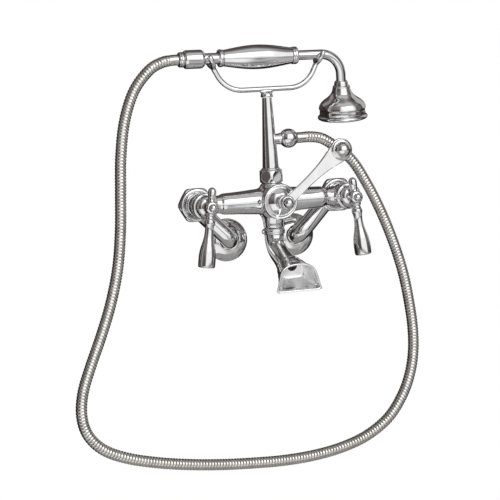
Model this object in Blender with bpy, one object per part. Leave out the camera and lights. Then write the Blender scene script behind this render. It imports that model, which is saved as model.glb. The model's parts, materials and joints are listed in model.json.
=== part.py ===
"""Wall mounted bath faucet with swing-arm inlets, lever valves, a diverter and a hand shower in its cradle.

The frame has its origin on the wall plane, midway between the two inlets. +X is to the right as the user
faces the wall, +Y goes into the wall and +Z is up. Sizes below are in millimetres and angles in degrees.
"""

import math

import bmesh
import bpy
from mathutils import Vector

MM = 0.001
GAP = 0.3  # clearance between neighbouring pieces
STEPS = 14  # sides of a turned piece
FEW = 8  # sides of a small turned piece
MANY = 18  # sides of a wide turned piece

# Where the main axes run
INLET_X = 42.9  # half of the 3-3/8 inch inlet spacing
VALVE_X = 88.9  # half of the 7 inch valve spacing
VALVE_Z = 48.0
BAR_Y = -58.0  # crossbar, riser and hand shower lie in this plane
BAR_R = 12.5
BAR_NECK_R = 10.7  # in the cove where the bar meets a valve's barrel
BARREL_R = 14.9
ARM_Y = -21.5  # swing arms lie in this plane
NUT_BACK_Y = -33.4
NUT_FRONT_Y = -44.6
VALVE_FRONT_Y = -78.0
HUB_Y = -101.5  # centre of a handle's hub
HANDLE_LEAN = {"left": 7.8, "right": 6.0}  # levers lean outward at the bottom

# Diverter
BEZEL_R = 21.2
BEZEL_BACK_Y = -85.0
LEVER_Y = -112.0
LEVER_ANGLE = 39.2
LEVER_LENGTH = 91.0

# Riser, outlet and cradle
RISER_NUT_Z = 69.0
RISER_NUT_H = 18.0
POST_BOTTOM_R = 9.6
POST_TOP_R = 5.7
POST_TOP_Z = 170.8
OUTLET_Z = 121.0
OUTLET_X = 34.0  # where the hose leaves its nut
YOKE_Z = 181.0
YOKE_R = 3.1
YOKE_CORNER_X = 50.0
YOKE_BEND_R = 34.0
SADDLE_X = 65.0
SADDLE_Z = 209.9

# Spout
SPOUT_SCREW_Z = -1.5
SCOOP_START = 0.86  # of the spout's length
BORE_R = 5.6
BORE_RISE = 5.2  # of the bore over the spout's centre line, at its mouth

# Hand shower, along its own axis
HAND_Z = 219.5
HAND_TILT = 0.4
HEAD_BACK = 9.0  # the head leans towards the wall
HEAD_OUT = 3.5  # and a little away from the grip
NECK_R = 6.6
TUBE_R = 5.8
BEND_R = 26.0
HEAD_X = 95.2
HEAD_TOP = 33.0  # below the grip's axis
HEAD_R = 30.4

# Hose
HOSE_R = 6.7
HOSE_POINTS = 48
HOSE_ROUTE = [
    (34.3, -58.0, 121.0),
    (40.0, -58.0, 121.0),
    (53.0, -58.0, 121.0),
    (67.0, -58.5, 118.0),
    (82.0, -59.0, 108.5),
    (95.0, -59.5, 98.0),
    (106.0, -60.0, 86.0),
    (119.0, -60.0, 64.0),
    (131.8, -60.5, 38.0),
    (144.0, -61.0, 8.0),
    (155.0, -61.5, -25.0),
    (162.8, -62.0, -56.0),
    (168.0, -62.0, -88.0),
    (171.0, -62.5, -120.0),
    (170.0, -63.0, -150.0),
    (164.0, -63.0, -178.0),
    (152.0, -63.5, -204.0),
    (132.0, -64.0, -229.0),
    (103.0, -64.0, -247.5),
    (70.0, -64.5, -258.0),
    (34.0, -64.5, -263.5),
    (-4.0, -65.0, -265.0),
    (-44.0, -65.0, -263.5),
    (-84.0, -65.0, -260.5),
    (-124.0, -65.0, -255.5),
    (-162.0, -65.0, -248.5),
    (-197.0, -65.0, -239.0),
    (-224.0, -64.5, -226.0),
    (-241.0, -64.5, -207.0),
    (-247.0, -64.5, -184.0),
    (-244.0, -64.0, -158.0),
    (-234.0, -64.0, -130.0),
    (-219.0, -63.5, -95.0),
    (-205.0, -63.0, -58.0),
    (-194.0, -62.5, -17.0),
    (-188.0, -62.0, 26.0),
    (-185.0, -61.5, 70.0),
    (-182.0, -61.0, 112.0),
    (-175.0, -60.0, 152.0),
    (-162.0, -59.5, 186.0),
    (-143.0, -59.0, 209.0),
    (-127.0, -58.5, 217.8),
    (-113.0, -58.0, 220.2),
    (-107.0, -58.0, 220.25),
]

FINISHES = {
    "chrome": ((0.80, 0.80, 0.81), 0.06, 1.0),
    "hose_steel": ((0.62, 0.60, 0.57), 0.18, 1.0),
    "brass": ((0.72, 0.53, 0.25), 0.30, 1.0),
    "rubber": ((0.03, 0.03, 0.03), 0.75, 0.0),
    "ceramic": ((0.88, 0.87, 0.84), 0.25, 0.0),
    "spray_plate": ((0.55, 0.56, 0.57), 0.22, 1.0),
}


# ---------------------------------------------------------------- helpers


def clear_scene():
    for obj in list(bpy.data.objects):
        bpy.data.objects.remove(obj, do_unlink=True)


def own_material(name, finish):
    """A Principled material for one piece."""
    colour, roughness, metallic = FINISHES[finish]
    material = bpy.data.materials.new(f"{name}_{finish}")
    material.use_nodes = True
    shader = material.node_tree.nodes["Principled BSDF"]
    shader.inputs["Base Color"].default_value = (*colour, 1)
    shader.inputs["Roughness"].default_value = roughness
    shader.inputs["Metallic"].default_value = metallic
    return material


def place(name, shape, finish, at=(0, 0, 0), turn=(0, 0, 0), parent=None):
    """Turns a bmesh into a named object at a place in mm, turned by Euler angles in degrees."""
    bmesh.ops.recalc_face_normals(shape, faces=shape.faces)
    mesh = bpy.data.meshes.new(name)
    shape.to_mesh(mesh)
    shape.free()
    mesh.shade_smooth()
    mesh.set_sharp_from_angle(angle=math.radians(32))
    obj = bpy.data.objects.new(name, mesh)
    obj.location = Vector(at) * MM
    obj.rotation_euler = [math.radians(angle) for angle in turn]
    obj.parent = parent
    bpy.context.scene.collection.objects.link(obj)
    if finish:
        mesh.materials.append(own_material(name, finish))
    return obj


def axis_empty(name, at, turn=(0, 0, 0)):
    """An empty on a joint's axis, which its moving pieces are parented to."""
    empty = bpy.data.objects.new(name, None)
    empty.location = Vector(at) * MM
    empty.rotation_euler = [math.radians(angle) for angle in turn]
    bpy.context.scene.collection.objects.link(empty)
    return empty


def helper(name, shape, at=(0, 0, 0), turn=(0, 0, 0), parent=None):
    """A shape that only cuts or joins another, left out of the model itself."""
    obj = place(name, shape, None, at, turn, parent)
    obj.hide_render = True
    obj.display_type = "WIRE"
    return obj


def combine(obj, operation, *others, solver="EXACT"):
    for other in others:
        modifier = obj.modifiers.new(other.name, "BOOLEAN")
        modifier.operation = operation
        modifier.solver = solver
        modifier.object = other


def turned(profile, steps=STEPS, ring=False):
    """A shape turned about +Z from (radius, height) points; a ring's outline closes on itself."""
    shape = bmesh.new()
    verts = [shape.verts.new((radius * MM, 0, height * MM)) for radius, height in profile]
    edges = [shape.edges.new(pair) for pair in zip(verts, verts[1:])]
    if ring:
        edges.append(shape.edges.new((verts[-1], verts[0])))
    bmesh.ops.spin(
        shape, geom=verts + edges, axis=(0, 0, 1), cent=(0, 0, 0), steps=steps, angle=math.tau
    )
    bmesh.ops.remove_doubles(shape, verts=shape.verts, dist=1e-6)
    return shape


def rod(radius, low, high, steps=STEPS):
    return turned([(0, low), (radius, low), (radius, high), (0, high)], steps)


def washer(inner, outer, low, high, steps=STEPS):
    return turned([(inner, low), (outer, low), (outer, high), (inner, high)], steps, ring=True)


def arc(centre, radius, start, end, count):
    """Points of an arc in a profile's plane, with its angles in degrees."""
    angles = [math.radians(start + (end - start) * i / count) for i in range(count + 1)]
    return [(centre[0] + radius * math.cos(a), centre[1] + radius * math.sin(a)) for a in angles]


def loft(sections):
    """A shape skinned through closed sections of equal point count, with flat ends."""
    shape = bmesh.new()
    rings = [[shape.verts.new(Vector(point) * MM) for point in section] for section in sections]
    count = len(rings[0])
    for lower, upper in zip(rings, rings[1:]):
        for i in range(count):
            j = (i + 1) % count
            shape.faces.new((lower[i], lower[j], upper[j], upper[i]))
    shape.faces.new(rings[0])
    shape.faces.new(rings[-1])
    return shape


def pipe(path, radius, normal, sides=12):
    """A round bar along a path that lies in the plane with this normal."""
    normal = Vector(normal).normalized()
    path = [Vector(point) for point in path]
    sections = []
    for i, centre in enumerate(path):
        before = path[max(i - 1, 0)]
        after = path[min(i + 1, len(path) - 1)]
        across = (after - before).normalized().cross(normal)
        angles = [math.tau * k / sides for k in range(sides)]
        sections.append(
            [centre + radius * (math.cos(a) * normal + math.sin(a) * across) for a in angles]
        )
    return loft(sections)


def bend(corner, start_way, end_way, radius, count=4):
    """Points that round a corner of a path with an arc between its two unit directions."""
    start_way, end_way = Vector(start_way).normalized(), Vector(end_way).normalized()
    turn = start_way.angle(end_way)
    start = Vector(corner) - start_way * radius * math.tan(turn / 2)
    across = (end_way - start_way * start_way.dot(end_way)).normalized()
    steps = [turn * i / count for i in range(count + 1)]
    return [start + radius * (math.sin(t) * start_way + (1 - math.cos(t)) * across) for t in steps]


def smooth_route(points, count):
    """Points at equal steps along a Catmull-Rom curve through the route, with its end runs left straight."""
    points = [Vector(point) for point in points]
    fine = []
    for a, b, c, d in zip(points, points[1:], points[2:], points[3:]):
        for i in range(20):
            t = i / 20
            fine.append(
                0.5
                * (
                    2 * b
                    + (c - a) * t
                    + (2 * a - 5 * b + 4 * c - d) * t**2
                    + (3 * b - a - 3 * c + d) * t**3
                )
            )
    fine.append(points[-2])
    reach = [0.0]
    for a, b in zip(fine, fine[1:]):
        reach.append(reach[-1] + (b - a).length)
    even = []
    k = 0
    for i in range(count):
        want = reach[-1] * i / (count - 1)
        while k < len(reach) - 2 and reach[k + 1] < want:
            k += 1
        share = (want - reach[k]) / (reach[k + 1] - reach[k])
        even.append(fine[k].lerp(fine[k + 1], share))
    return [points[0], *even, points[-1]]


def hex_block(flats, low, high, corner=1.6):
    """A hexagonal block about +Z with its corners eased."""
    shape = bmesh.new()
    bmesh.ops.create_cone(
        shape,
        cap_ends=True,
        segments=6,
        radius1=flats / math.sqrt(3) * MM,
        radius2=flats / math.sqrt(3) * MM,
        depth=(high - low) * MM,
    )
    bmesh.ops.translate(shape, verts=shape.verts, vec=(0, 0, (low + high) / 2 * MM))
    bmesh.ops.bevel(
        shape, geom=shape.edges[:], offset=corner * MM, segments=1, profile=0.5, affect="EDGES"
    )
    return shape


FORWARD = (90, 0, 0)  # turns +Z to -Y, out of the wall
RIGHT = (0, 90, 0)  # turns +Z to +X


# ---------------------------------------------------------------- valve body


def flared(along, base, swell, spread):
    """A radius that swells smoothly near the middle of the body."""
    return base + swell * math.exp(-((along / spread) ** 2))


def valve_body():
    half_bar = [
        *[(flared(x, BAR_R, 3.6, 38), x) for x in (20, 34, 48, 62)],
        (11.8, 64.4),
        (BAR_NECK_R, 66.4),
        (BAR_NECK_R, 78),
        (0, 78),
    ]
    bar = [(r, -x) for r, x in half_bar[::-1]] + half_bar
    body = place("valve_body", turned(bar), "chrome", (0, BAR_Y, VALVE_Z), RIGHT)
    low = 15 - VALVE_Z
    high = RISER_NUT_Z - GAP - VALVE_Z
    necks = [
        (0, low),
        (12.2, low),
        (12.5, -25),
        (13.6, -20),
        (16.2, -16),
        (20, -12.4),
        (20.6, 0),
        (20, 11),
        (16.6, 14.4),
        (14.2, 17.4),
        (13.2, high),
        (0, high),
    ]
    joins = [
        helper("body_necks", turned(necks), (0, BAR_Y, VALVE_Z)),
        helper("body_diverter_boss", rod(17.4, 3, -BEZEL_BACK_Y + BAR_Y - GAP, MANY),
               (0, BAR_Y, VALVE_Z), FORWARD),
    ]
    cuts = [
        helper("body_diverter_bore", rod(14.4, 8, 40), (0, BAR_Y, VALVE_Z), FORWARD),
        helper("body_riser_bore", rod(7, -6, 30), (0, BAR_Y, VALVE_Z)),
        helper("body_spout_bore", rod(9.4, -40, 3), (0, BAR_Y, VALVE_Z)),
        helper("body_bar_bore", rod(6.5, -84, 84), (0, BAR_Y, VALVE_Z), RIGHT),
    ]
    for side, x in (("left", -VALVE_X), ("right", VALVE_X)):
        barrel = [
            (0, 38.9),
            (12, 38.9),
            (12, -NUT_FRONT_Y + GAP),
            (BARREL_R, -NUT_FRONT_Y + GAP),
            (BARREL_R, -VALVE_FRONT_Y),
            (0, -VALVE_FRONT_Y),
        ]
        joins.append(helper(f"body_{side}_barrel", turned(barrel), (x, 0, VALVE_Z), FORWARD))
        bores = [(0, 35), (7.5, 35), (7.5, 52), (10.9, 52), (10.9, 90), (0, 90)]
        cuts.append(helper(f"body_{side}_bore", turned(bores), (x, 0, VALVE_Z), FORWARD))
    # The casting's many crossing bores need the solver that works on whole closed solids.
    combine(body, "UNION", *joins, solver="MANIFOLD")
    combine(body, "DIFFERENCE", *cuts, solver="MANIFOLD")


# ---------------------------------------------------------------- valves and handles


def valve(side, sign):
    """The fixed pieces of one lever valve, from the back to the front."""
    axis = (sign * VALVE_X, 0, VALVE_Z)
    nut = place(
        f"{side}_union_nut",
        hex_block(39.4, -NUT_BACK_Y, -NUT_FRONT_Y, 2.6),
        "chrome",
        axis,
        (90, 30, 0),
    )
    bores = [(0, 30), (11.1, 30), (11.1, 36.3), (12.6, 36.3), (12.6, 50), (0, 50)]
    combine(nut, "DIFFERENCE", helper(f"{side}_union_bore", turned(bores), axis, FORWARD))
    place(f"{side}_union_washer", washer(6, 11.9, 36.6, 38.6, FEW), "rubber", axis, FORWARD)
    cartridge = [
        (4.4, 57),
        (8, 57),
        (8, 61),
        (10.5, 61),
        (10.5, 76),
        (9.4, 76),
        (9.4, -VALVE_FRONT_Y + 2.5),
        (4.4, -VALVE_FRONT_Y + 2.5),
    ]
    place(f"{side}_cartridge", turned(cartridge, ring=True), "brass", axis, FORWARD)
    front = -VALVE_FRONT_Y + GAP
    ring = [
        (9.8, front),
        (14.6, front),
        (15.6, front + 0.9),
        (15.6, front + 2.9),
        (14.6, front + 3.8),
        (9.8, front + 3.8),
    ]
    place(f"{side}_bonnet_ring", turned(ring, ring=True), "chrome", axis, FORWARD)
    base = front + 3.8 + GAP
    bell = [
        (4.7, base),
        (13.2, base),
        *arc((5.6, base + 1.6), 8, -5, 72, 5),
        (6.4, base + 10.6),
        (4.7, base + 10.6),
    ]
    place(f"{side}_bonnet", turned(bell, ring=True), "chrome", axis, FORWARD)


def handle(side, sign):
    """The pieces that turn with one lever handle, parented to an empty on the valve's axis."""
    lean = -sign * HANDLE_LEAN[side]
    pivot = axis_empty(f"{side}_handle_axis", (sign * VALVE_X, HUB_Y, VALVE_Z), (0, lean, 0))
    back, face = 8.2, -8.4
    hub_round = [
        (0, face),
        (5.2, face),
        (7.4, -6.8),
        (8.4, -3.6),
        (8.4, 3.2),
        (7.4, 6.6),
        (6.0, back),
        (0, back),
    ]
    hub = place(
        f"{side}_handle_hub",
        turned([(r, -y) for r, y in hub_round[::-1]]),
        "chrome",
        turn=FORWARD,
        parent=pivot,
    )
    finger = [(0, 0), (4.4, 0), (4.4, 11), (4.9, 14), (4.9, 19), *arc((0, 18.6), 4.9, 15, 90, 4)]
    neck = [(0, -13.6), (5.2, -13.6), (5.2, -10.5), (6.2, -9.4), (6.2, -7), (0, 0)]
    combine(
        hub,
        "UNION",
        helper(f"{side}_finger", turned(finger, FEW), parent=pivot),
        helper(f"{side}_neck", turned(neck, FEW), parent=pivot),
    )
    stem_bore = rod(4.2, -back - 1, 3.0)
    screw_bore = rod(2.6, 0, -face + 1)
    combine(
        hub,
        "DIFFERENCE",
        helper(f"{side}_stem_bore", stem_bore, turn=FORWARD, parent=pivot),
        helper(f"{side}_screw_bore", screw_bore, turn=FORWARD, parent=pivot),
    )
    grip = [
        (0, -69.3),
        (7.0, -69.3),
        *arc((6.9, -66.2), 3.1, -70, 0, 3),
        (10.0, -55.8),
        (9.5, -53),
        (8.8, -47.2),
        (7.1, -41.4),
        (5.9, -36),
        (5.3, -32),
        (5.0, -27),
        (5.3, -22),
        (6.3, -18.6),
        (6.3, -14.6),
        (5.4, -13.9),
        (0, -13.9),
    ]
    place(f"{side}_lever_grip", turned(grip), "chrome", parent=pivot)
    button = [(0, 8.7), (4.9, 8.7), (5.0, 10), *arc((0, 8.8), 5.0, 20, 90, 4)]
    place(f"{side}_handle_button", turned(button, FEW), "chrome", turn=FORWARD, parent=pivot)
    screw = [(0, 3.4), (2.0, 3.4), (2.0, 8.4), (0, 8.4)]
    place(f"{side}_handle_screw", turned(screw, 12), "brass", turn=FORWARD, parent=pivot)
    start = -54.5 - HUB_Y
    stem = [(0, -start + 4.2), (3.9, -start + 4.2), (3.9, 2.6), (0, 2.6)]
    place(f"{side}_stem", turned(stem, FEW), "brass", turn=FORWARD, parent=pivot)
    disc = rod(9.6, -start - 0.9, -start + 2.0)
    cut = helper(
        f"{side}_disc_port",
        rod(2.6, -start - 3, -start + 4, 12),
        (5.6, 0, 0),
        FORWARD,
        pivot,
    )
    disc = place(f"{side}_ceramic_disc", disc, "ceramic", turn=FORWARD, parent=pivot)
    combine(disc, "DIFFERENCE", cut)


# ---------------------------------------------------------------- swing arms


def swing_arm(side, sign):
    """One S-shaped inlet arm with its wall flange, parented to an empty on the valve's axis."""
    pivot = axis_empty(f"{side}_arm_axis", (sign * VALVE_X, ARM_Y, VALVE_Z))
    across = Vector((sign * (VALVE_X - INLET_X), 0, VALVE_Z))
    along = across.normalized()
    inlet = Vector((-across.x, 0, -across.z))
    out = Vector((0, -1, 0))
    wall = inlet + Vector((0, -ARM_Y, 0))
    tail = Vector((0, -36.2 - ARM_Y, 0))
    path = [
        wall + out * 0.4,
        *bend(inlet, out, along, 11.5),
        *bend((0, 0, 0), along, out, 11.5),
        tail,
    ]
    normal = along.cross(out)
    arm = place(f"{side}_swing_arm", pipe(path, 10.5, normal, 12), "chrome", parent=pivot)
    bore_path = [wall - out * 2, *path[1:-1], tail + out * 2]
    bore = helper(f"{side}_arm_bore", pipe(bore_path, 7.6, normal, 10), parent=pivot)
    combine(arm, "DIFFERENCE", bore)
    flange = [
        (11.2, 0),
        (26.0, 0),
        (26.4, 1.6),
        *arc((14.4, -2.2), 12.0, 26, 78, 4),
        (13.6, 9.4),
        (11.2, 9.4),
    ]
    place(
        f"{side}_wall_flange",
        turned(flange, MANY, ring=True),
        "chrome",
        wall,
        FORWARD,
        pivot,
    )
    place(f"{side}_inlet_washer", washer(4.5, 7.1, 6.4, 8.4, FEW), "rubber", wall, FORWARD, pivot)


# ---------------------------------------------------------------- diverter


def diverter():
    axis = (0, 0, VALVE_Z)
    back = -BEZEL_BACK_Y
    sleeve = washer(9.4, 14.1, 67, back + 3)
    place("diverter_sleeve", sleeve, "brass", axis, FORWARD)
    bezel = [
        (14.6, back),
        (19.6, back),
        (BEZEL_R, back + 1.4),
        (BEZEL_R, back + 4.4),
        (19.8, back + 6),
        (17.4, back + 6),
        (17.0, back + 4.2),
        (14.6, back + 4.2),
    ]
    place("diverter_bezel", turned(bezel, MANY, ring=True), "chrome", axis, FORWARD)
    base = back + 4.5
    dome = [
        (5.2, base),
        (16.6, base),
        (16.6, base + 1.6),
        *arc((0, base - 14.4), 22.6, 43, 66, 4),
        (7.4, base + 8.2),
        (5.2, base + 8.2),
    ]
    place("diverter_dome", turned(dome, MANY, ring=True), "chrome", axis, FORWARD)

    pivot = axis_empty("diverter_axis", (0, LEVER_Y, VALVE_Z), (0, -LEVER_ANGLE, 0))
    hub_profile = [
        (0, -13.6),
        (7.6, -13.6),
        (8.8, -12),
        (8.8, 4),
        (7.4, 6.4),
        (0, 6.4),
    ]
    lever = place("diverter_lever", turned(hub_profile), "chrome", turn=FORWARD, parent=pivot)
    blade = lever_blade()
    plate = rod(13.4, -2.2, 2.2, STEPS)
    combine(
        lever,
        "UNION",
        helper("lever_blade", blade, parent=pivot),
        helper("lever_plate", plate, (LEVER_LENGTH, 0, 0), FORWARD, pivot),
    )
    combine(
        lever,
        "DIFFERENCE",
        helper("lever_stem_bore", rod(4.8, -16, -2), turn=FORWARD, parent=pivot),
        helper("lever_screw_bore", rod(2.6, -4, 8), turn=FORWARD, parent=pivot),
        helper("lever_knob_bore", rod(2.6, -4, 4), (LEVER_LENGTH, 0, 0), FORWARD, pivot),
    )
    cap = [(0, 6.7), (6.4, 6.7), (6.6, 8), *arc((0, 6.6), 6.6, 22, 90, 4)]
    place("diverter_cap", turned(cap, FEW), "chrome", turn=FORWARD, parent=pivot)
    place("diverter_screw", rod(2.1, -1.7, 6.3, 12), "brass", turn=FORWARD, parent=pivot)
    inner = -69.0 - LEVER_Y
    stem = [(0, -inner), (9.0, -inner), (9.0, -inner + 10), (4.4, -inner + 10), (4.4, -2.6), (0, -2.6)]
    place("diverter_stem", turned(stem, FEW), "brass", turn=FORWARD, parent=pivot)
    knob = [
        (0, -1.8),
        (2.2, -1.8),
        (2.2, 2.6),
        (11.6, 2.6),
        (11.6, 3.8),
        (9.7, 4.3),
        *arc((0, 4.3), 9.7, 4, 90, 5),
    ]
    place("diverter_knob", turned(knob), "chrome", (LEVER_LENGTH, 0, 0), FORWARD, pivot)


def lever_blade():
    """A flat blade that is narrow at the hub and flares into the end plate."""
    stations = [
        (4, 6.2),
        (14, 5.7),
        (26, 5.4),
        (38, 5.5),
        (52, 6.3),
        (62, 7.5),
        (70, 9.0),
        (78, 11.0),
        (86, 12.6),
        (LEVER_LENGTH, 12.8),
    ]
    thick = 1.9
    return loft(
        [
            [(x, -thick, -half), (x, thick, -half), (x, thick, half), (x, -thick, half)]
            for x, half in stations
        ]
    )


# ---------------------------------------------------------------- riser, outlet and cradle


def riser():
    foot = RISER_NUT_Z
    top = foot + RISER_NUT_H
    nut = place(
        "riser_union_nut",
        hex_block(27, foot, top, 3.0),
        "chrome",
        (0, BAR_Y, 0),
        (0, 0, 90 - 16),
    )
    cutter = turned([(0, 60), (10.9, 60), (10.9, foot + 12), (10.1, foot + 12), (10.1, 95), (0, 95)])
    combine(nut, "DIFFERENCE", helper("riser_nut_bore", cutter, (0, BAR_Y, 0)))
    place("riser_washer", washer(5, 9.8, foot + 0.1, foot + 2.4, FEW), "rubber", (0, BAR_Y, 0))
    tail = foot + 2.8
    post_profile = [
        (0, tail),
        (10.5, tail),
        (10.5, foot + 11.6),
        (POST_BOTTOM_R, foot + 11.6),
        (POST_BOTTOM_R, top + 2),
        (POST_TOP_R, POST_TOP_Z),
        (0, POST_TOP_Z),
    ]
    post = place("riser_post", turned(post_profile), "chrome", (0, BAR_Y, 0))
    stub = [(0, 0), (6.5, 0), (6.5, 12), (6.9, 13), (6.9, 14.6), (5.4, 14.6), (5.4, 20), (0, 20)]
    combine(post, "UNION", helper("post_stub", turned(stub, FEW), (0, BAR_Y, OUTLET_Z), RIGHT))
    combine(
        post,
        "DIFFERENCE",
        helper("post_bore", rod(4.2, tail - 2, OUTLET_Z + 4), (0, BAR_Y, 0)),
        helper("post_outlet_bore", rod(3.4, 0, 24, FEW), (0, BAR_Y, OUTLET_Z), RIGHT),
    )
    start, end = 15.0, OUTLET_X - GAP
    middle = (start + end) / 2
    outline = [(6.0, start), *arc((0, middle), 11.5, -54, 54, 6), (6.0, end)]
    place(
        "hose_outlet_nut", turned(outline, ring=True), "chrome", (0, BAR_Y, OUTLET_Z), RIGHT
    )
    place("hose_washer", washer(3, 5.6, 20.4, 22.6, FEW), "rubber", (0, BAR_Y, OUTLET_Z), RIGHT)


def cradle():
    """The yoke: a hub on the riser, a bar, two rising arms and a U-shaped fork at each end."""
    hub_profile = [
        (0, POST_TOP_Z + GAP),
        (7.4, POST_TOP_Z + GAP),
        (7.4, POST_TOP_Z + 3.4),
        (6.4, POST_TOP_Z + 5.4),
        (4.2, YOKE_Z - 2.2),
        (0, YOKE_Z + 1.4),
    ]
    yoke = place("cradle", turned(hub_profile), "chrome", (0, BAR_Y, 0))
    joins = []
    rise = Vector((SADDLE_X - YOKE_CORNER_X, 0, SADDLE_Z - YOKE_Z))
    for sign in (-1, 1):
        way = Vector((sign * rise.x, 0, rise.z)).normalized()
        corner = Vector((sign * YOKE_CORNER_X, BAR_Y, YOKE_Z))
        saddle = Vector((sign * SADDLE_X, BAR_Y, SADDLE_Z))
        arm = [(0, BAR_Y, YOKE_Z), *bend(corner, (sign, 0, 0), way, YOKE_BEND_R), saddle]
        side = "left" if sign < 0 else "right"
        joins.append(helper(f"cradle_{side}_arm", pipe(arm, YOKE_R, (0, 1, 0), 8)))
        lean = Vector((sign * 0.42, 0, 0.91)).normalized()
        round_r = 10.6
        centre = saddle + lean * round_r
        front, back = Vector((0, -1, 0)), Vector((0, 1, 0))
        half = [math.radians(30 * i) for i in range(7)]
        fork = [
            centre + front * round_r + lean * 1.5,
            *[centre + round_r * (math.cos(t) * front - math.sin(t) * lean) for t in half],
            centre + back * round_r + lean * 1.5,
        ]
        joins.append(
            helper(f"cradle_{side}_fork", pipe(fork, YOKE_R, Vector((0, 1, 0)).cross(lean), 8))
        )
        for way_y in (front, back):
            tip = centre + way_y * round_r + lean * 1.5
            name = f"cradle_{side}_{'front' if way_y.y < 0 else 'back'}_tip"
            joins.append(helper(name, ball_shape(YOKE_R + 0.15), tip))
    combine(yoke, "UNION", *joins)


def ball_shape(radius):
    shape = bmesh.new()
    bmesh.ops.create_uvsphere(shape, u_segments=8, v_segments=5, radius=radius * MM)
    return shape


# ---------------------------------------------------------------- spout


def spout_section(centre, pitch, width, height, square, flare):
    """A closed section across the spout: round along the pipe, arched with a wide flat foot at the mouth."""
    count = 20
    forward = Vector((0, -math.cos(pitch), math.sin(pitch)))
    right = Vector((1, 0, 0))
    up = forward.cross(right)
    points = []
    for i in range(count):
        angle = math.tau * (i + 0.5) / count
        c, s = math.cos(angle), math.sin(angle)
        power = 1 - square * (0.86 if s < 0 else 0.2)
        u = math.copysign(abs(c) ** power, c) * width / 2
        v = math.copysign(abs(s) ** power, s) * height / 2
        drop = 0.5 - v / height
        u *= 1 + flare * (drop**2 - 0.25)
        points.append(centre + right * u + up * v)
    return points


def spout_line(t):
    """The centre and the pitch of the spout at t of its length."""
    start, one, two, end = [
        Vector((0, y, z)) for y, z in ((BAR_Y, 7.7), (BAR_Y, -14), (-84, -18), (-142, -37))
    ]
    centre = (
        start * (1 - t) ** 3
        + one * 3 * t * (1 - t) ** 2
        + two * 3 * t**2 * (1 - t)
        + end * t**3
    )
    way = (one - start) * (1 - t) ** 2 + (two - one) * 2 * t * (1 - t) + (end - two) * t**2
    return centre, math.atan2(way.z, -way.y)


def spout_shape(stations, wall=0.0, reach=0.0):
    """The spout's skin or, with a wall thickness, the scoop behind its mouth."""
    sections = []
    for t in stations:
        centre, pitch = spout_line(t)
        ease = max(0.0, (t - 0.55) / 0.45) ** 2
        lip = max(0.0, (t - 0.88) / 0.12)
        width = 24 + 22 * ease + 2 * lip - 2 * wall
        height = 24 + 8 * ease + 1.5 * lip - 2 * wall
        sections.append(spout_section(centre, pitch * (1 - t**4), width, height, ease, 0.3 * ease))
    if reach:
        ahead = Vector((0, -reach, 0))
        sections.append([point + ahead for point in sections[-1]])
    return loft(sections)


def spout():
    skin = place("spout", spout_shape([i / 8 for i in range(9)]), "chrome")
    tenon = helper("spout_tenon", rod(9.0, 5, 24), (0, BAR_Y, 0))
    combine(skin, "UNION", tenon)
    # Water comes down a round bore that opens high in the back wall of the scoop.
    route = [Vector((0, BAR_Y, 30)), Vector((0, BAR_Y, 16))]
    for i in range(11):
        t = 0.09 * i
        route.append(spout_line(t)[0] + Vector((0, 0, BORE_RISE * t**2)))
    bore = helper("spout_waterway", pipe(route, BORE_R, (1, 0, 0), 16))
    scoop = helper("spout_scoop", spout_shape([SCOOP_START, 0.91, 0.95, 1.0], 2.8, 6))
    combine(skin, "DIFFERENCE", bore, scoop)
    seat = [(0, 7), (1.9, 7), (1.9, 15), (3.95, 15), (3.95, 24), (0, 24)]
    combine(
        skin,
        "DIFFERENCE",
        helper("spout_screw_seat", turned(seat, 12), (0, BAR_Y, SPOUT_SCREW_Z), FORWARD),
    )
    ring = [(9.3, 8), (12.6, 8), (13.5, 8.9), (13.5, 13.8), (12.6, 14.7), (9.3, 14.7)]
    collar = place("spout_collar", turned(ring, ring=True), "chrome", (0, BAR_Y, 0))
    hole = helper("collar_screw_hole", rod(2.0, 8, 15, 12), (0, BAR_Y, 11.4), (0, -90, 0))
    combine(collar, "DIFFERENCE", hole)
    screw = [(0, 9.4), (1.7, 9.4), (1.7, 13.9), (2.7, 13.9), (2.7, 15.6), (1.8, 16.6), (0, 16.6)]
    place("spout_set_screw", turned(screw, 12), "chrome", (0, BAR_Y, 11.4), (0, -90, 0))
    dome = [(0, 11), (1.5, 11), (1.5, 15.3), (3.6, 15.3), *arc((0, 16.0), 3.6, 10, 90, 3)]
    place("spout_screw", turned(dome, FEW), "chrome", (0, BAR_Y, SPOUT_SCREW_Z), FORWARD)


# ---------------------------------------------------------------- hand shower


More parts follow.
